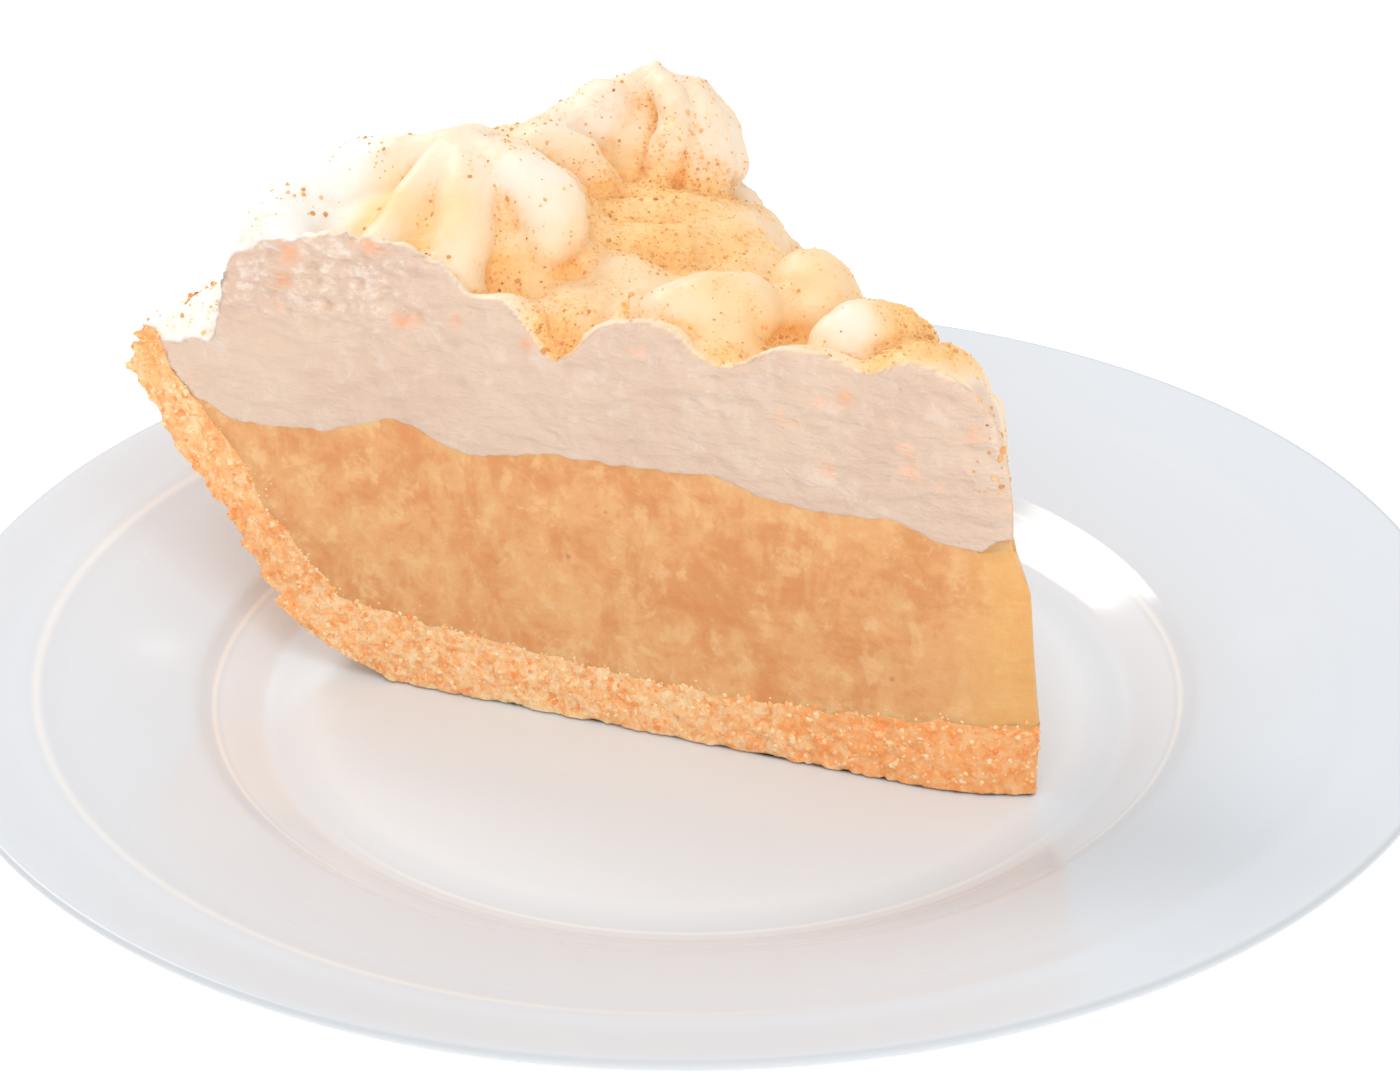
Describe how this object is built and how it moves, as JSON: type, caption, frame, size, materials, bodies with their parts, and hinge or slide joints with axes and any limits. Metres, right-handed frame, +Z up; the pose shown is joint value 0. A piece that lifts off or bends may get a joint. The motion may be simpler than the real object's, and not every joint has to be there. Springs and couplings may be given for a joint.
{
  "type": "banana cream pie slice",
  "caption": "Slice of banana cream pie with a crumb crust, thick custard and piped whipped cream, served on a round white rimmed plate.",
  "frame": {"origin": "centre of the plate's foot ring, on the table", "axes": "+Z up out of the plate; +Y away from the slice's shown cut face, so that the pointed end of the slice is toward +X and -Y"},
  "size_m": [0.2, 0.2, 0.0799],
  "materials": {
    "porcelain": "glossy white glaze",
    "crumb_crust": "dry baked crumbs",
    "custard": "moist set custard",
    "cream": "soft matt whipped cream"
  },
  "bodies": {
    "root": {"plate": "porcelain", "crumb_crust": "crumb_crust", "banana_custard": "custard", "whipped_cream": "cream", "swirl_near": "cream", "swirl_far": "cream", "dollop_between": "cream", "dollop_round": "cream", "dollop_back": "cream", "dollop_tip": "cream"}
  },
  "joints": []
}
